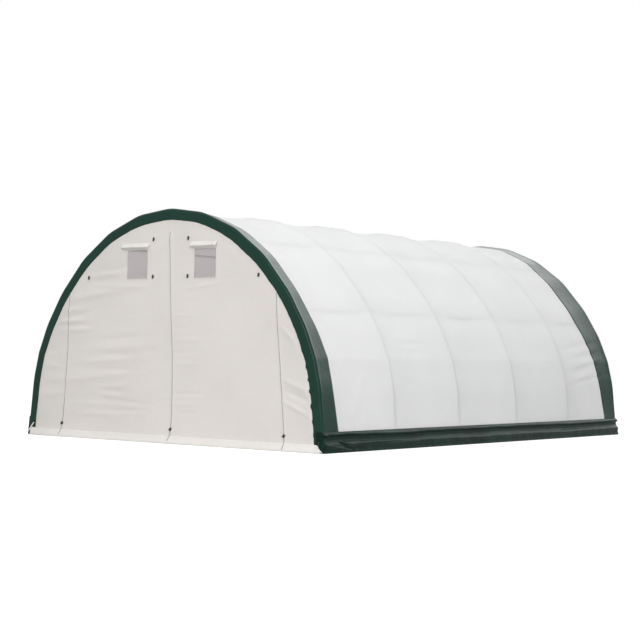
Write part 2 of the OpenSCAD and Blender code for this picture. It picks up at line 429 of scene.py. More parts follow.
shelter = {
    "facetAngles": (0, 15, 22, 30, 40, 52.5, 65, 77.5, 90),
    "facetReach": (1.001, 1.002, 1.007, 1.006, 1.002, 1.002, 1.002, 1.002, 1.002),
    "arches": 6,
    "crispCorner": 0.12,  # half the length over which a corner bends, at an arch
    "slackCorner": 0.16,  # the same half way between two arches
    "tubeBulge": 0.006,
    "tubeReach": 0.024,  # how far from a tube its bulge shows
    "kneeHeight": 1.36,
    "kneeReach": 0.14,
    "wave": 0.0045,
    "kneeSharpening": 0.85,
    "wallInset": 0.0055,  # of the end walls, behind the trim
    "tableStep": 0.002,
    "slopeReach": 0.006,
    "sagHeights": (0.0, 0.3, 0.9, 2.0, 3.0, 3.6),
    "sag": (0.003, 0.008, 0.034, 0.052, 0.049, 0.041),
    "baySlack": (1.0, 0.92, 1.08, 0.95, 1.05),
}
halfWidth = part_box("right_skirt")[1].x
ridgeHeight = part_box("roof_cover")[1].z
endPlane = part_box("rear_trim")[1].y
wallPlane = endPlane - shelter["wallInset"]
archY = [
    (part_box(f"arch_{i}")[0].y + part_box(f"arch_{i}")[1].y) / 2 for i in range(1, shelter["arches"] + 1)
]
archY = np.array(sorted(archY))
bayLength = archY[1] - archY[0]


def makeOutline():
    a = np.radians(shelter["facetAngles"])
    r = np.array(shelter["facetReach"])
    x = halfWidth * r * np.cos(a)
    z = ridgeHeight * r * np.sin(a)
    x = np.concatenate([x, -x[-2::-1]])
    z = np.concatenate([z, z[-2::-1]])
    step = np.array([x[0] - x[1], z[0] - z[1]])
    step /= np.hypot(*step)
    x = np.concatenate([[x[0] + step[0]], x, [-x[0] - step[0]]])
    z = np.concatenate([[z[0] + step[1]], z, [z[0] + step[1]]])
    along = np.concatenate([[0], np.cumsum(np.hypot(np.diff(x), np.diff(z)))]) - 1
    step = shelter["tableStep"]
    fine = np.arange(along[0], along[-1], step)
    fx = np.interp(fine, along, x)
    fz = np.interp(fine, along, z)
    return fine, fx, fz, np.cumsum(fx) * step, np.cumsum(fz) * step, along[-1] - 1


lineS, lineX, lineZ, sumX, sumZ, girth = makeOutline()


def outline(s, soft):
    # x, z and outward normal of the outline at the length s from the right foot

    def at(q):
        low, high = q - soft, q + soft
        return (
            (np.interp(high, lineS, sumX) - np.interp(low, lineS, sumX)) / (2 * soft),
            (np.interp(high, lineS, sumZ) - np.interp(low, lineS, sumZ)) / (2 * soft),
        )

    x, z = at(s)
    x2, z2 = at(s + shelter["slopeReach"])
    x1, z1 = at(s - shelter["slopeReach"])
    tx, tz = x2 - x1, z2 - z1
    size = np.hypot(tx, tz)
    return x, z, tz / size, -tx / size


halfTable = lineS <= girth / 2


def lengthAt(z, side=1):
    s = np.interp(z, lineZ[halfTable], lineS[halfTable])
    return s if side > 0 else girth - s


def ripples(u, v, seed, longest, shortest, count=9, lean=None):
    # a sum of plain waves in chosen directions, about 1 high
    rng = np.random.default_rng(seed)
    total = 0
    for i in range(count):
        size = longest * (shortest / longest) ** (i / (count - 1))
        angle = rng.uniform(0, math.pi) if lean is None else math.radians(rng.normal(*lean))
        phase = rng.uniform(0, 2 * math.pi)
        total = total + np.sin(
            2 * math.pi * (u * math.cos(angle) + v * math.sin(angle)) / size + phase
        ) * (size / longest) ** 0.7
    return total / math.sqrt(count)


def folds(u, v, table):
    # soft ridges: middle u, middle v, length, width, turn in degrees, height
    total = np.zeros(np.broadcast(u, v).shape)
    for u0, v0, length, width, turn, height in table:
        c, s = math.cos(math.radians(turn)), math.sin(math.radians(turn))
        a = ((u - u0) * c + (v - v0) * s) / (length / 2)
        b = (-(u - u0) * s + (v - v0) * c) / width
        total = total + height * np.exp(-(a**2) * 1.3 - b**2)
    return total


def spreadFolds(seed, groups):
    # each group: middle, spread, how many, then length, width, turn, its spread, height
    rng = np.random.default_rng(seed)
    table = []
    for (u0, v0), (spreadU, spreadV), count, length, width, turn, turnSpread, height in groups:
        for i in range(count):
            step = (2 * i + 1) / count - 1 + rng.uniform(-0.4, 0.4) / count
            table.append(
                (
                    u0 + spreadU * rng.uniform(-1, 1),
                    v0 + spreadV * step,
                    length * rng.uniform(0.7, 1.3),
                    width * rng.uniform(0.8, 1.2),
                    turn + turnSpread * rng.uniform(-1, 1),
                    height * (1 if i % 2 == 0 else -0.8),
                )
            )
    return table


# on the roof: place along y and up the outline from the right foot
roofFolds = spreadFolds(
    4,
    [
        ((3.6, 1.35), (0.06, 0.40), 7, 1.0, 0.034, 8, 2, -0.012),
        ((-1.95, 1.65), (0.10, 0.12), 3, 0.8, 0.028, 0, 2, 0.008),
        ((-3.40, 1.10), (0.03, 0.10), 2, 0.2, 0.045, 60, 4, 0.010),
        ((-3.65, 0.60), (0.08, 0.08), 2, 0.3, 0.050, 62, 4, -0.007),
    ],
)


def kneeCrispness(s):
    # the cloth bends sharply at the knee of each leg
    knee = lengthAt(shelter["kneeHeight"])
    reach = shelter["kneeReach"]
    near = np.exp(-(((s - knee) / reach) ** 2)) + np.exp(-(((girth - s - knee) / reach) ** 2))
    return 1 - shelter["kneeSharpening"] * near


def cover(s, y, lift=0.0):
    k = np.clip((y - archY[0]) / bayLength, 0, shelter["arches"] - 1)
    bay = np.minimum(np.floor(k), shelter["arches"] - 2).astype(int)
    f = k - bay
    slack = 4 * f * (1 - f)
    soft = shelter["crispCorner"] + (shelter["slackCorner"] - shelter["crispCorner"]) * np.sqrt(slack)
    soft = soft * kneeCrispness(s)
    x, z, nx, nz = outline(s, soft)
    sag = np.interp(z, shelter["sagHeights"], shelter["sag"]) * slack
    sag = sag * np.array(shelter["baySlack"])[bay]
    low = np.clip(z / 0.6, 0, 1)
    away = (k - np.round(k)) * bayLength
    tube = shelter["tubeBulge"] * np.exp(-((away / shelter["tubeReach"]) ** 2))
    tube = tube * np.clip((z - 0.35) / 0.4, 0, 1)
    d = lift - sag + tube
    d = d + ripples(s, y, 5, 1.5, 0.4, 8) * shelter["wave"] * slack * low
    upright = np.clip((z - 0.3) / 0.3, 0, 1)
    d = d + folds(y, s, roofFolds) * upright
    d = d + folds(-y, girth - s, roofFolds) * upright * 0.7
    return x + nx * d, z + nz * d


borderSet = {
    "lap": 0.0025,
    "tubeWrap": 0.031,
    "trimWidth": 0.160,
    "pleatEvery": 0.21,
    "pleatHeight": 0.016,
    "rows": 460,
    "foot": 0.02,
    "gatherHeight": 0.85,
    "gatherSpread": 0.5,
    "gatherLeast": 0.2,
    "softening": 0.16,  # of the corners, from the tube to the trim's free edge
    "depthHeights": (0.3, 0.9, 1.4, 1.7, 2.2, 2.9, 3.6),
    "depths": {
        -1: (0.40, 0.36, 0.37, 0.34, 0.30, 0.30, 0.29),
        1: (0.44, 0.49, 0.52, 0.55, 0.60, 0.55, 0.32),
    },
}


def bandDepth(z, end):
    # the front border narrows towards the top, and the rear one is widest above its middle
    return np.interp(z, borderSet["depthHeights"], borderSet["depths"][end])


def clothObject(name, points, uv, material, keep=None, thickness=0.0, centre=(0, 0, 1.2)):
    # grids of x, y and z, and of u and v, as a smooth sheet that faces away from centre
    points, uv = np.stack(points, axis=-1), np.stack(uv, axis=-1)
    rows, cols = points.shape[:2]
    index = np.arange(rows * cols).reshape(rows, cols)
    quads = np.stack(
        [index[:-1, :-1], index[:-1, 1:], index[1:, 1:], index[1:, :-1]], axis=-1
    ).reshape(-1, 4)
    if keep is not None:
        quads = quads[keep.reshape(-1)]
    flat = points.reshape(-1, 3)
    p = flat[quads]
    normal = np.cross(p[:, 2] - p[:, 0], p[:, 3] - p[:, 1])
    outward = (normal * (p.mean(1) - np.array(centre))).sum()
    if outward < 0:
        quads = quads[:, ::-1]
    mesh = bpy.data.meshes.new(name)
    mesh.from_pydata(flat.tolist(), [], quads.tolist())
    layer = mesh.uv_layers.new(name="clothMap")
    loops = np.zeros(len(mesh.loops), dtype=np.int32)
    mesh.loops.foreach_get("vertex_index", loops)
    layer.data.foreach_set("uv", uv.reshape(-1, 2)[loops].astype(np.float32).ravel())
    work = bmesh.new()
    work.from_mesh(mesh)
    bmesh.ops.remove_doubles(work, verts=work.verts, dist=0.0001)
    bmesh.ops.dissolve_degenerate(work, edges=work.edges, dist=0.0001)
    loose = [v for v in work.verts if not v.link_faces]
    bmesh.ops.delete(work, geom=loose, context="VERTS")
    work.to_mesh(mesh)
    work.free()
    mesh.materials.append(material)
    mesh.polygons.foreach_set("use_smooth", [True] * len(mesh.polygons))
    piece = linkObject(name, mesh)
    if thickness:
        wall = piece.modifiers.new("cloth", "SOLIDIFY")
        wall.thickness = thickness
        wall.offset = -1
        applyModifiers(piece)
    return piece


def applyModifiers(piece):
    bpy.ops.object.select_all(action="DESELECT")
    piece.select_set(True)
    bpy.context.view_layer.objects.active = piece
    for modifier in list(piece.modifiers):
        bpy.ops.object.modifier_apply(modifier=modifier.name)
    piece.select_set(False)


def finishPiece(piece, slotName, *nodes):
    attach(piece, "root")
    if nodes:
        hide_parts(*nodes)
    return piece


roofSet = {
    "foot": 0.285,
    "rows": 224,
    "nearTube": (0.0, 0.007, 0.015, 0.027, 0.044),  # shares of a bay
    "open": (0.07, 0.93, 28),  # where the even rows start and end, and how many
    "border": 0.30,
    "underBorder": 0.02,
}


def makeRoof():
    sStart, sEnd = lengthAt(roofSet["foot"]), lengthAt(roofSet["foot"], -1)
    s = np.linspace(sStart, sEnd, roofSet["rows"])
    near = roofSet["nearTube"]
    under = roofSet["underBorder"]
    f = np.concatenate([near, np.linspace(*roofSet["open"]), 1 - np.array(near[:0:-1])])
    y = np.concatenate([archY[i] + f * bayLength for i in range(shelter["arches"] - 1)])
    y = np.append(y, archY[-1])
    halfLength = endPlane - roofSet["border"]
    inner = y[(y > -halfLength + under) & (y < halfLength - under)]
    y = np.concatenate([[-halfLength], inner, [halfLength]])
    sGrid, yGrid = np.meshgrid(s, y, indexing="ij")
    zRow = np.interp(sGrid, lineS, lineZ)
    edge = endPlane - bandDepth(zRow, -1) + under
    rearEdge = endPlane - bandDepth(zRow, 1) + under
    start = archY[1]
    front = yGrid < start
    yGrid = np.where(front, start + (yGrid - start) * (edge + start) / (halfLength + start), yGrid)
    rear = yGrid > -start
    yGrid = np.where(rear, -start + (yGrid + start) * (rearEdge + start) / (halfLength + start), yGrid)
    x, z = cover(sGrid, yGrid)
    piece = clothObject("roofCloth", (x, yGrid, z), (sGrid, yGrid), whiteRoof)
    finishPiece(piece, "roof_fabric", "roof_cover")


makeRoof()
print("roof made")


def makeBorder(name, end, startRight, startLeft, nodes):
    # end -1 is the front, 1 the rear; the starts are the trim's lower ends, as heights
    wrap = borderSet["tubeWrap"]
    u = np.linspace(0, 1, borderSet["rows"])
    back = np.concatenate([np.linspace(1, 0.12, 13), [0.06, 0.0]])  # share of the way to the tube
    arc = np.radians(np.linspace(0, 90, 8))[1:]
    down = np.linspace(0, 1, 9)[1:]
    cols = len(back) + len(arc) + len(down)
    turning = np.linspace(0, 1, len(arc) + 1)[1:]
    turned = np.concatenate([np.zeros(len(back)), turning, np.ones(len(down))])
    foot = borderSet["foot"]
    right = lengthAt(foot + turned * (startRight - foot))
    left = lengthAt(foot + turned * (startLeft - foot), -1)
    s = right[None, :] + u[:, None] * (left - right)[None, :]
    zRow = np.interp(s, lineS, lineZ)
    lines = []
    tubeAt = endPlane - archY[-1]
    for j in range(cols):
        sj = s[:, j]
        if j < len(back):
            depth = tubeAt + back[j] * (bandDepth(zRow[:, j], end) - tubeAt)
            y = end * (endPlane - depth)
            x, z = cover(sj, y, borderSet["lap"])
            across = -depth
        else:
            pastTube = max(0, j - len(back) - len(arc) + 1) / len(down)
            soften = np.full_like(sj, shelter["crispCorner"] + borderSet["softening"] * pastTube)
            x, z, nx, nz = outline(sj, soften * kneeCrispness(sj))
            gather = (zRow[:, j] - borderSet["gatherHeight"]) / borderSet["gatherSpread"]
            gather = np.exp(-(gather**2)) * (sj < girth / 2) + borderSet["gatherLeast"]
            drift = 2.4 * ripples(sj, 0 * sj, 77, 1.3, 0.4, 5)
            pleat = np.maximum(0, np.sin(2 * math.pi * sj / borderSet["pleatEvery"] + drift)) ** 2
            width = borderSet["trimWidth"] + 0.007 * ripples(sj, 0 * sj, 31, 1.9, 0.35, 6)
            width = width + 0.5 * borderSet["pleatHeight"] * gather * pleat
            if j < len(back) + len(arc):
                a = arc[j - len(back)]
                inset = wrap - (wrap + borderSet["lap"]) * math.cos(a)
                depth = tubeAt - (tubeAt + 0.002) * math.sin(a)
                depth = np.full_like(sj, depth)
                across = a * wrap
            else:
                v = down[j - len(back) - len(arc)]
                inset = wrap + v * (width - wrap)
                phase = 2 * math.pi * sj / borderSet["pleatEvery"] + drift + 1.5 * (v - 1)
                pleat = np.maximum(0, np.sin(phase)) ** 2
                loose = ripples(sj, v * width, 12, 0.9, 0.2, 7) * 0.0016
                depth = -0.002 + 0.0035 * v - v * (pleat * gather * borderSet["pleatHeight"] + loose)
                depth = np.minimum(depth, 0.002)
                across = wrap * 1.57 + v * width
            x = x - nx * inset
            z = z - nz * inset
            y = end * (endPlane - depth)
        lines.append(np.broadcast_arrays(x, y, z, sj, across))
    x, y, z, along, across = np.stack(lines, axis=-1)
    piece = clothObject(name, (x, y, z), (along, across), greenCloth, thickness=0.0012, centre=(0, 0, 0.9))
    finishPiece(piece, "green_fabric", *nodes)


makeBorder("frontBorder", -1, 0.12, 0.14, ("front_roof_band", "front_trim"))
makeBorder("rearBorder", 1, 0.10, 0.10, ("rear_roof_band", "rear_trim"))
print("green borders made")


# on the skirts: place along y and height
skirtFolds = spreadFolds(
    6,
    [
        ((-4.15, 0.13), (0.10, 0.09), 4, 0.7, 0.018, -14, 8, 0.018),
        ((-2.6, 0.14), (0.60, 0.05), 3, 1.5, 0.016, 0, 2, -0.007),
        ((0.2, 0.13), (0.90, 0.06), 4, 1.6, 0.016, 0, 2, -0.007),
        ((3.0, 0.13), (0.60, 0.06), 3, 1.4, 0.018, 2, 2, -0.007),
    ],
)


skirtSet = {
    "top": 0.302,
    "lap": 0.11,
    "flare": 0.022,
    "columns": 330,
    "rows": 26,
    "width": 0.34,
    "length": 9.35,
    "foldScale": 1.5,
    "flatEnd": 0.8,  # the left skirt lies flat over this length at its front end
    "flatLeast": 0.15,
}


def makeSkirt(name, side, node):
    along = np.linspace(-endPlane - skirtSet["lap"], endPlane + skirtSet["lap"], skirtSet["columns"])
    v = np.linspace(0, 1, skirtSet["rows"])
    aGrid, vGrid = np.meshgrid(along, v, indexing="ij")
    z = skirtSet["top"] * (1 - vGrid)
    # the ends lap round the corners, less and less towards the ground
    past = np.maximum(np.abs(aGrid) - endPlane, 0) * np.clip((z - 0.02) / 0.12, 0.05, 1)
    if side < 0:
        past = np.where(aGrid < 0, 0, past)  # at the left front corner the wall's hem is outermost
    yGrid = np.clip(aGrid, -endPlane, endPlane)
    slope = (lineX[np.searchsorted(lineS, 0.5)] - halfWidth) / 0.5
    drift = 0.03 * ripples(yGrid, 0 * yGrid, 8 + side, 2.4, 0.7, 5)

    def roll(at, wide):
        return np.exp(-(((vGrid - at - drift) / wide) ** 2))

    out = 0.006 + 0.036 * roll(0.14, 0.08) - 0.034 * roll(0.36, 0.07) + 0.034 * roll(0.62, 0.15)
    out = out + skirtSet["flare"] * vGrid**3 + skirtSet["foldScale"] * folds(yGrid, z, skirtFolds)
    out = out + 0.003 * ripples(yGrid, z * 2, 21 + side, 0.8, 0.15, 8) * np.clip(vGrid * 4, 0, 1)
    if side < 0:
        least = skirtSet["flatLeast"]
        out = out * np.clip(least + (yGrid + endPlane) / skirtSet["flatEnd"], least, 1)
    bunch = 0.014 * np.sin(2 * math.pi * (vGrid * 3.1 + past * 6)) * np.clip(past / 0.03, 0, 1)
    out = np.maximum(out, 0.004) * np.clip(1 - past / 0.05, 0, 1)
    x = side * (halfWidth + slope * z + out - past)
    front = 0.010 + bunch * (bunch > 0) + hemOut(np.abs(x), z)
    y = yGrid + np.sign(aGrid) * front * np.clip(past / 0.012, 0, 1)
    piece = clothObject(name, (x, y, z), (z, aGrid), skirtCloth, thickness=0.0012, centre=(0, 0, 0.15))
    finishPiece(piece, "green_fabric", node)


frontShift = (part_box("left_door_panel")[1].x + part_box("right_door_panel")[0].x) / 2
zipLines = {
    "heights": (0, 0.25, 0.75, 1.4, 2.2, 3.2),
    # how far each line strays from straight at those heights
    "left": (-0.04, 0, 0.01, 0, -0.05, -0.05),
    "middle": (0.03, 0.08, 0.09, 0.08, 0.02, -0.02),
    "right": (-0.02, 0, -0.01, -0.03, -0.05, -0.05),
}
wallSet = {
    "cell": 0.022,
    "rearCell": 0.03,
    "underTrim": 0.06,
    "foldScale": 1.3,
    "hemHeight": 0.125,
    "hemFlare": 0.075,
    "hemEase": 0.8,  # the hem's flare grows over this length from the left corner
    "hemLeast": 0.25,
    "side": 3.035,
    "top": 3.59,
    "doorTop": 3.24,
    "headerFoot": 3.2395,
    "headerHalf": 1.3,
    "looseInset": 0.17,
    "nearEdge": 0.25,
    "areaStep": 0.005,
    "areaReach": 3.1,
}
# on the front wall: place across and height
frontFolds = spreadFolds(
    9,
    [
        ((-1.5, 2.30), (0.0, 0.0), 1, 1.6, 0.050, 7, 0, 0.014),
        ((-1.2, 2.55), (0.25, 0.20), 4, 0.8, 0.048, 0, 9, 0.010),
        ((-2.0, 1.88), (0.15, 0.20), 5, 0.6, 0.034, 6, 5, 0.011),
        ((-1.25, 1.30), (0.40, 0.36), 6, 1.3, 0.050, 3, 5, 0.008),
        ((-1.2, 0.62), (0.75, 0.26), 7, 0.8, 0.040, 0, 6, 0.007),
        ((0.45, 1.70), (0.20, 0.60), 6, 0.5, 0.026, 2, 3, 0.004),
        ((0.5, 0.60), (0.30, 0.22), 3, 0.6, 0.030, 2, 4, -0.005),
        ((0.7, 2.43), (0.02, 0.03), 2, 0.8, 0.023, 7, 1, 0.006),
        ((0.0, 3.10), (0.02, 0.02), 1, 0.6, 0.040, 28, 0, 0.007),
        ((2.55, 0.80), (0.04, 0.24), 3, 0.5, 0.035, -21, 3, 0.009),
        ((2.4, 1.70), (0.02, 0.08), 2, 0.4, 0.040, -40, 5, 0.006),
        ((-2.5, 1.00), (0.05, 0.50), 4, 0.5, 0.050, 4, 5, 0.007),
    ],
)


def zipX(which, z):
    low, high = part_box(which + "_zip")
    half = zipSet["tapeHalf"]
    ends = {"left": (low.x + half, high.x - half), "right": (high.x - half, low.x + half)}
    foot, top = ends.get(which, ((low.x + high.x) / 2,) * 2)
    straight = foot + (top - foot) * (z - low.z) / (high.z - low.z)
    heights = zipLines["heights"]
    fine = np.linspace(heights[0], heights[-1], 400)
    raw = np.interp(fine, heights, zipLines[which])
    wide = np.convolve(np.pad(raw, 18, mode="edge"), np.ones(37) / 37, mode="valid")
    return straight + np.interp(z, fine, wide)


def insetTop(x, inset):
    # height of the outline, drawn in by inset, above x
    s = np.arange(-0.5, girth / 2 + 0.2, 0.004)
    ox, oz, nx, nz = outline(s, np.full_like(s, 0.12))
    ix, iz = ox - nx * inset, oz - nz * inset
    half = ix > 0
    order = np.argsort(ix[half])
    return np.interp(np.abs(x), ix[half][order], iz[half][order])


# how much of the small waving shows, at places across the wall and up it
busySet = {
    "across": (
        (-2.9, -2.3, -2.0, -0.3, 0.3, 2.0, 2.4, 2.9), (0.7, 0.8, 1.0, 0.8, 0.35, 0.25, 0.6, 0.5)
    ),
    "up": ((0, 0.4, 2.3, 3.2), (0.7, 1.0, 1.0, 0.6)),
}


def looseRoom(x, z):
    # 0 where the border holds the wall, 1 where it hangs free
    room = np.clip((insetTop(x, wallSet["looseInset"]) - z) / wallSet["nearEdge"], 0, 1)
    return room * room * (3 - 2 * room)


def frontOut(x, z):
    # how far the front wall bulges forward
    room = looseRoom(x, z)
    busy = np.interp(x, *busySet["across"]) * np.interp(z, *busySet["up"])
    sway = ripples(x, z, 3, 1.4, 0.3, 9, lean=(88, 9)) * 0.0045 * busy
    small = ripples(x, z, 17, 0.42, 0.12, 9, lean=(86, 14)) * 0.0012 * busy
    edge = 0
    for which in ("left", "middle", "right"):
        gap = np.abs(x - zipX(which, z))
        near = np.exp(-((gap / 0.022) ** 2))
        top = zipSet["middleEnd" if which == "middle" else "outerEnd"]
        edge = edge + 0.004 * near * np.clip((top - z) / 0.05, 0, 1)
    creases = wallSet["foldScale"] * folds(x, z, frontFolds)
    return 0.0012 + (sway + small + creases + edge + 0.008) * room


def hemOut(x, z):
    # the hem stands away from the wall towards the ground
    low = np.clip(1 - z / wallSet["hemHeight"], 0, 1)
    least = wallSet["hemLeast"]
    flare = wallSet["hemFlare"] * np.clip(least + (x + halfWidth) / wallSet["hemEase"], least, 1)
    return low**1.2 * (flare + 0.008 * ripples(x, 0 * x, 44, 1.3, 0.25, 7))


def windowOf(side):
    low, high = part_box(side + "_window_mesh")
    return low.x, high.x, low.z, high.z


def wallGrid(columns, rows, leftLine, rightLine, inset, cap):
    # points of a wall piece: columns follow the lines at its sides, rows stop at the outline
    x0, z0 = np.meshgrid(columns, rows, indexing="ij")

    def shifted(z):
        x = x0.copy()
        if leftLine:
            w = np.clip(1 - (x0 - columns[0]) / 0.4, 0, 1)
            x = x + (leftLine(z) - columns[0]) * w * w * (3 - 2 * w)
        if rightLine:
            w = np.clip(1 - (columns[-1] - x0) / 0.4, 0, 1)
            x = x + (rightLine(z) - columns[-1]) * w * w * (3 - 2 * w)
        return x

    z = z0
    for _ in range(3):
        x = shifted(z)
        top = np.maximum(insetTop(x, inset), 0)
        z = np.minimum(z0, np.minimum(top, cap))
    x = shifted(z)
    inner = (z[:-1, 1:] - z[:-1, :-1] > 1e-4) | (z[1:, 1:] - z[1:, :-1] > 1e-4)
    return x, z, inner


def spaced(stops, cell):
    parts = []
    for a, b in zip(stops[:-1], stops[1:]):
        n = max(1, round((b - a) / cell))
        parts.append(np.linspace(a, b, n + 1)[:-1])
    return np.concatenate([*parts, [stops[-1]]])


def flatSize(sides, leftLine, rightLine, inset, low, cap, window=None):
    # height and area of a flat wall piece, from the outline and its side lines alone
    step = wallSet["areaStep"]
    across = np.arange(-wallSet["areaReach"], wallSet["areaReach"], step) + step / 2
    x, z = np.meshgrid(across, np.arange(low, cap, step) + step / 2, indexing="ij")
    top = np.minimum(insetTop(x[:, 0], inset), cap)
    inside = z < top[:, None]
    inside &= x > (leftLine(z) if leftLine else sides[0])
    inside &= x < (rightLine(z) if rightLine else sides[1])
    if window:
        x0, x1, z0, z1 = window
        inside &= ~((x > x0) & (x < x1) & (z > z0) & (z < z1))
    return float(np.ptp(z[inside])) + step, float(inside.sum()) * step * step


def makeFrontPiece(
    name, nodes, columnStops, leftLine, rightLine, window=None, low=0.0, cap=wallSet["doorTop"]
):
    cell = wallSet["cell"]
    rowStops = [low, cap]
    if window:
        rowStops = [low, window[2], window[3], cap]
        columnStops = [columnStops[0], window[0], window[1], columnStops[-1]]
    columns = spaced(columnStops, cell)
    rows = spaced(rowStops, cell)
    x, z, keep = wallGrid(columns, rows, leftLine, rightLine, wallSet["underTrim"], cap)
    if window:
        cx = (columns[:-1] + columns[1:]) / 2
        cz = (rows[:-1] + rows[1:]) / 2
        inColumn = (cx > window[0]) & (cx < window[1])
        inRow = (cz > window[2]) & (cz < window[3])
        keep = keep & ~(inColumn[:, None] & inRow[None, :])
    y = -wallPlane - frontOut(x, z) - hemOut(x, z)
    piece = clothObject(name, (x, y, z), (x, z), wallCloth, keep=keep)
    finishPiece(piece, "wall_fabric", *nodes)
    sides = (columnStops[0], columnStops[-1])
    high, area = flatSize(sides, leftLine, rightLine, wallSet["underTrim"], low, cap, window)


makeSkirt("rightSkirt", 1, "right_skirt")
makeSkirt("leftSkirt", -1, "left_skirt")
print("skirts made")

leftLine, middleLine, rightLine = (partial(zipX, which) for which in ("left", "middle", "right"))
atLeft, atMiddle, atRight = (float(line(1.2)) for line in (leftLine, middleLine, rightLine))
wallSide = wallSet["side"]
headerSides = [-wallSet["headerHalf"], wallSet["headerHalf"]]
leftWindow, rightWindow = ({"window": windowOf(side)} for side in ("left", "right"))
for name, node, sides, first, second, limits in (
    ("leftSidePanel", "left_side_panel", [-wallSide, atLeft], None, leftLine, {}),
    ("leftDoor", "left_door_panel", [atLeft, atMiddle], leftLine, middleLine, leftWindow),
    ("rightDoor", "right_door_panel", [atMiddle, atRight], middleLine, rightLine, rightWindow),
    ("rightSidePanel", "right_side_panel", [atRight, wallSide], rightLine, None, {}),
    (
        "frontHeader", "front_header", headerSides, None, None,
        {"low": wallSet["headerFoot"], "cap": wallSet["top"]},
    ),
):
    makeFrontPiece(name, (node,), sides, first, second, **limits)
print("front wall made")


# single folds, as folds() takes them
rearFolds = [
    (-1.3, 2.2, 1.6, 0.06, -8, 0.012),
    (0.9, 2.5, 1.4, 0.05, 7, 0.010),
    (-0.4, 1.6, 2.2, 0.06, 3, 0.010),
    (1.6, 1.3, 1.3, 0.05, -12, 0.012),
    (-1.9, 1.0, 1.2, 0.05, 14, 0.010),
    (0.2, 0.8, 2.4, 0.05, -2, -0.010),
    (1.9, 0.6, 1.2, 0.04, 16, 0.010),
    (-1.0, 0.4, 1.6, 0.04, 2, 0.008),
]


def rearOut(x, z):
    sway = ripples(x, z, 61, 1.6, 0.3, 9, lean=(90, 14)) * 0.005
    return 0.0012 + (sway + folds(x, z, rearFolds) + 0.006) * looseRoom(x, z)


def makeRearWall():
    sides, top, inset = (-wallSet["side"], wallSet["side"]), wallSet["top"], wallSet["underTrim"]
    columns = spaced(sides, wallSet["rearCell"])
    rows = spaced([0.0, top], wallSet["rearCell"])
    x, z, keep = wallGrid(columns, rows, None, None, inset, top)
    y = wallPlane + rearOut(x, z) + hemOut(-x, z)
    piece = clothObject("rearWall", (x, y, z), (x, z), wallCloth, keep=keep)
    finishPiece(piece, "wall_fabric", "rear_wall")
    high, area = flatSize(sides, None, None, inset, 0.0, top)


makeRearWall()


hemSet = {"right": 2.99, "left": 3.03, "height": 0.118, "foot": 0.001, "columns": 300, "rows": 9}


def makeHem(name, end, nodes):
    x = end * np.linspace(hemSet["right"], -hemSet["left"], hemSet["columns"])
    xGrid, vGrid = np.meshgrid(x, np.linspace(0, 1, hemSet["rows"]), indexing="ij")
    z = hemSet["height"] * (1 - vGrid) + hemSet["foot"]
    z = z + 0.004 * ripples(xGrid, 0 * xGrid, 71 + end, 1.7, 0.3, 6) * (1 - vGrid)
    out = (frontOut(xGrid, z) if end < 0 else rearOut(xGrid, z)) + hemOut(end * -xGrid, z)
    roll = 0.0016 * np.sqrt(np.clip(1 - (2 * vGrid - 1) ** 4, 0, 1)) + 0.0012
    y = end * (wallPlane + out + roll)
    piece = clothObject(name, (xGrid, y, z), (xGrid, z), hemCloth, thickness=0.001)
    finishPiece(piece, "wall_fabric", *nodes)


strapSet = {"halfWidth": 0.011, "length": 0.2, "low": (3.03, 0.06), "high": (2.91, 0.20)}


def makeCornerStrap():
    # webbing that pulls the front trim's left lower end tight
    a, b = np.array(strapSet["low"]), np.array(strapSet["high"])
    across = np.array([b[1] - a[1], a[0] - b[0]]) / np.hypot(*(b - a)) * strapSet["halfWidth"]
    f, g = np.meshgrid(np.linspace(0, 1, 14), np.linspace(-1, 1, 7), indexing="ij")
    x = a[0] + (b[0] - a[0]) * f + across[0] * g
    z = a[1] + (b[1] - a[1]) * f + across[1] * g
    y = -endPlane - 0.008 - 0.002 * np.cos(g * 1.5) - 0.004 * np.sin(math.pi * f)
    uv = (f * strapSet["length"], g * strapSet["halfWidth"])
    middle = (0, -endPlane + 0.1, 0.2)
    piece = clothObject("leftTrimStrap", (-x, y, z), uv, hemCloth, thickness=0.0016, centre=middle)
    finishPiece(piece, "wall_fabric")


makeCornerStrap()
makeHem("frontHem", -1, ("front_hem",))
makeHem("rearHem", 1, ("rear_hem",))
print("rear wall and hems made")


def makeZip(name, which, low, high, node):
    z = np.linspace(low, high, zipSet["rows"])
    profile = np.array(zipSet["profile"])
    zGrid, side = np.meshgrid(z, profile[:, 0] * zipSet["halfWidth"], indexing="ij")
    x = zipX(which, zGrid) + side
    rise = np.broadcast_to(profile[:, 1], x.shape)
    y = -wallPlane - frontOut(x, zGrid) - hemOut(x, zGrid) - zipSet["stand"] - rise
    y = y - zipSet["overHem"] * np.clip((zipSet["hemTop"] - zGrid) / 0.02, 0, 1)
    piece = clothObject(name, (x, y, zGrid), (side, zGrid), zipTape, thickness=0.0008)
    finishPiece(piece, "zip_tape", node)


def zipTop(which):
    z = np.linspace(1.8, 3.2, 600)
    x = zipX(which, z)
    return float(z[np.argmax(insetTop(x, 0.15) < z)])


makeZip("leftZip", "left", 0.035, zipTop("left"), "left_zip")
makeZip("middleZip", "middle", 0.045, wallSet["doorTop"], "middle_zip")
makeZip("rightZip", "right", 0.03, zipTop("right"), "right_zip")
print("zips made")


meshSet = {"pitch": 0.008, "thread": 0.0027, "thick": 0.0009, "margin": 0.012}


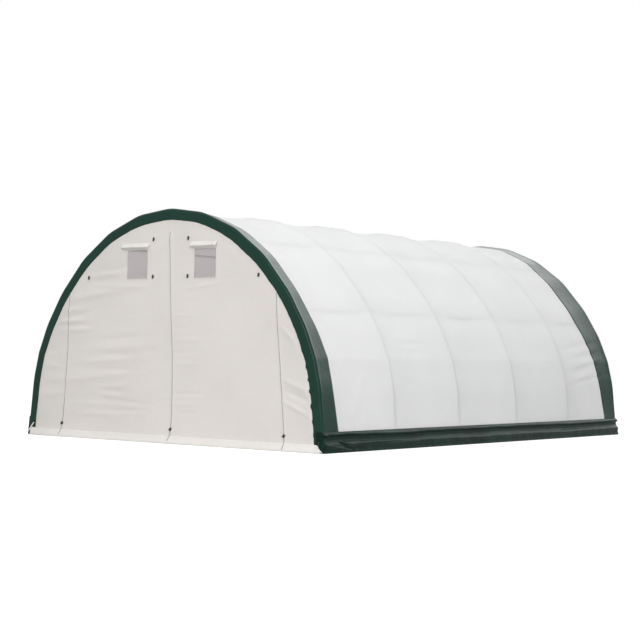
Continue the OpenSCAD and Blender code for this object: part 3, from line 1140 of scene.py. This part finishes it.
def makeWindow(side):
    # a net of crossing flat threads; a real net has holes of about 2 mm, drawn at 8 mm
    x0, x1, z0, z1 = windowOf(side)
    m = meshSet["margin"]
    x0, x1, z0, z1 = x0 - m, x1 + m, z0 - m, z1 + m
    y = -wallPlane + 0.0012
    verts, faces = [], []
    sides = ((0, 1, 5, 4), (1, 2, 6, 5), (2, 3, 7, 6), (3, 0, 4, 7), (3, 2, 1, 0), (4, 5, 6, 7))

    def strip(a, b, across, lift):
        k = len(verts)
        w = meshSet["thread"] / 2
        t = meshSet["thick"] / 2
        for p in (a, b):
            for dw, dt in ((-w, -t), (w, -t), (w, t), (-w, t)):
                dx, dz = (dw, 0) if across == "x" else (0, dw)
                verts.append((p[0] + dx, y + lift + dt, p[1] + dz))
        faces.extend([k + i for i in f] for f in sides)

    for x in np.arange(x0, x1, meshSet["pitch"]):
        strip((x, z0), (x, z1), "x", -0.0004)
    for z in np.arange(z0, z1, meshSet["pitch"]):
        strip((x0, z), (x1, z), "z", 0.0004)
    mesh = bpy.data.meshes.new(side + "WindowMesh")
    mesh.from_pydata(verts, [], faces)
    work = bmesh.new()
    work.from_mesh(mesh)
    bmesh.ops.recalc_face_normals(work, faces=work.faces)
    work.to_mesh(mesh)
    work.free()
    mesh.materials.append(thread)
    piece = linkObject(side + "WindowMesh", mesh)
    finishPiece(piece, "window_mesh", side + "_window_mesh")


def makeBinding(side):
    # a sewn strip round the window opening
    x0, x1, z0, z1 = windowOf(side)
    ring = []
    n = 24
    for k in range(4 * n):
        f = (k % n) / n
        corner = [(x0, z0), (x1, z0), (x1, z1), (x0, z1)]
        a, b = corner[k // n], corner[(k // n + 1) % 4]
        ring.append((a[0] + (b[0] - a[0]) * f, a[1] + (b[1] - a[1]) * f))
    ring = np.array(ring + ring[:1])
    mid = np.array([(x0 + x1) / 2, (z0 + z1) / 2])
    half = np.array([(x1 - x0) / 2, (z1 - z0) / 2])
    offsets = np.array([-0.003, 0.0, 0.006, 0.012, 0.014])
    rise = np.array([0.0, 0.0016, 0.0022, 0.0014, 0.0])
    scale = (half[None, None, :] + offsets[None, :, None]) / half[None, None, :]
    grid = mid + (ring[:, None, :] - mid) * scale
    x, z = grid[..., 0], grid[..., 1]
    y = -wallPlane - frontOut(x, z) - 0.0006 - rise[None, :]
    piece = clothObject(side + "WindowBinding", (x, y, z), (x, z), wallCloth, thickness=0.0008)
    finishPiece(piece, "wall_fabric")


awningSet = {
    # out from the wall, height over the window's top, share of the overhang
    "section": (
        (0.000, 0.100, 1.0),
        (0.024, 0.084, 1.0),
        (0.046, 0.062, 1.0),
        (0.060, 0.038, 1.0),
        (0.060, 0.030, 0.96),
        (0.052, 0.024, 0.85),
        (0.026, 0.004, 0.40),
        (0.008, -0.012, 0.10),
        (0.000, -0.020, 0.0),
    ),
}


def makeAwning(side, pastLeft, pastRight):
    # a short hood of doubled cloth, wider at its lip than the window
    x0, x1, z0, z1 = windowOf(side)
    section = np.array(awningSet["section"])
    along = np.concatenate([[0], np.cumsum(np.hypot(np.diff(section[:, 0]), np.diff(section[:, 1])))])
    fine = np.linspace(0, along[-1], 28)
    out, up, past = (np.interp(fine, along, section[:, i]) for i in range(3))
    f = np.linspace(0, 1, 44)
    fGrid, k = np.meshgrid(f, np.arange(28), indexing="ij")
    x = (x0 - pastLeft * past[k]) * (1 - fGrid) + (x1 + pastRight * past[k]) * fGrid
    z = z1 + up[k] + 0.004 * ripples(x, up[k] * 3, 91, 0.5, 0.12, 6) * np.clip(out[k] / 0.03, 0, 1)
    ends = np.clip(np.minimum(fGrid, 1 - fGrid) / 0.04, 0, 1) ** 0.5
    lift = out[k] * (0.25 + 0.75 * ends) * (1 + 0.12 * ripples(x, up[k], 92, 0.35, 0.1, 5))
    y = -wallPlane - frontOut(x, z) * 0.6 - 0.002 - lift
    middle = ((x0 + x1) / 2, -wallPlane + 0.02, z1 + 0.03)
    piece = clothObject(
        side + "WindowAwning", (x, y, z), (x, fine[k]), hemCloth, thickness=0.0008, centre=middle
    )
    finishPiece(piece, "wall_fabric", side + "_window_awning")


for side, pastLeft, pastRight in (("left", 0.13, 0.03), ("right", 0.09, 0.02)):
    makeWindow(side)
    makeBinding(side)
    makeAwning(side, pastLeft, pastRight)
print("windows made")


tieSet = {
    "length": 0.058,
    "radius": 0.013,
    "loop": 0.019,
    "places": ((-0.36, 2.56), (0.36, 2.56), (-0.36, 3.14), (0.36, 3.14), (-1.75, 2.56), (1.75, 2.56)),
    "lowSize": (0.019, 0.042),
    "lowHeight": 0.22,  # one on each zip line
    "stand": 0.014,
    "lean": 8,
    "lowLean": 35,
    "edge": 0.003,
    "waist": (0.28, 0.008),  # how much the barrel narrows, and over what length
    "cord": 0.0025,
    "loopTurn": (78, 20),
}


def makeTies():
    copies = []
    places = [(frontShift + across, z) for across, z in tieSet["places"]]
    lowZ = tieSet["lowHeight"]
    places += [(float(line(lowZ)), lowZ) for line in (leftLine, middleLine, rightLine)]
    for x, z in places:
        out = float(frontOut(np.array(x), np.array(z)) + hemOut(np.array(x), np.array(z)))
        y = -wallPlane - out - tieSet["stand"]
        low = z < 1
        radius, length = tieSet["lowSize"] if low else (tieSet["radius"], tieSet["length"])
        turn = (0, math.radians(tieSet["lowLean" if low else "lean"]), 0)
        bpy.ops.mesh.primitive_cylinder_add(
            vertices=20, radius=radius, depth=length, location=(x, y, z), rotation=turn
        )
        barrel = bpy.context.object
        bpy.ops.object.mode_set(mode="EDIT")
        bpy.ops.mesh.select_all(action="SELECT")
        bpy.ops.mesh.subdivide(number_cuts=3)
        bpy.ops.object.mode_set(mode="OBJECT")
        soft = barrel.modifiers.new("edges", "BEVEL")
        soft.width = tieSet["edge"]
        soft.segments = 3
        soft.limit_method = "ANGLE"
        applyModifiers(barrel)
        narrowing, waistLength = tieSet["waist"]
        for v in barrel.data.vertices:
            waist = 1 - narrowing * math.exp(-((v.co.z / waistLength) ** 2))
            v.co.x *= waist
            v.co.y *= waist
        barrel.select_set(True)
        bpy.context.view_layer.objects.active = barrel
        bpy.ops.object.transform_apply()
        copies.append(barrel)
        bpy.ops.mesh.primitive_torus_add(
            major_radius=tieSet["loop"], minor_radius=tieSet["cord"], major_segments=28,
            minor_segments=10, location=(x, y + 0.004, z - 0.003),
            rotation=(*[math.radians(a) for a in tieSet["loopTurn"]], 0),
        )
        loop = bpy.context.object
        bpy.ops.object.transform_apply()
        copies.append(loop)
    bpy.ops.object.select_all(action="DESELECT")
    for piece in copies:
        piece.select_set(True)
    bpy.context.view_layer.objects.active = copies[0]
    bpy.ops.object.join()
    ties = bpy.context.object
    ties.name = "doorTies"
    ties.data.name = "doorTies"
    bpy.ops.object.shade_smooth_by_angle(angle=math.radians(40))
    ties.data.materials.clear()
    ties.data.materials.append(blackNylon)
    ties.select_set(False)
    finishPiece(ties, "toggle_plastic", "door_toggles")


makeTies()
print("ties made")


# the steel frame keeps its own shapes
steelNodes = ["ridge_purlin"] + [f"arch_{i}" for i in range(1, shelter["arches"] + 1)]
for side in ("left", "right"):
    steelNodes += [f"{side}_{n}" for n in ("upper_purlin", "lower_purlin", "cover_rail", "foot_plates")]
for name in steelNodes:
    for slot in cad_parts[name].material_slots:
        slot.material = steel
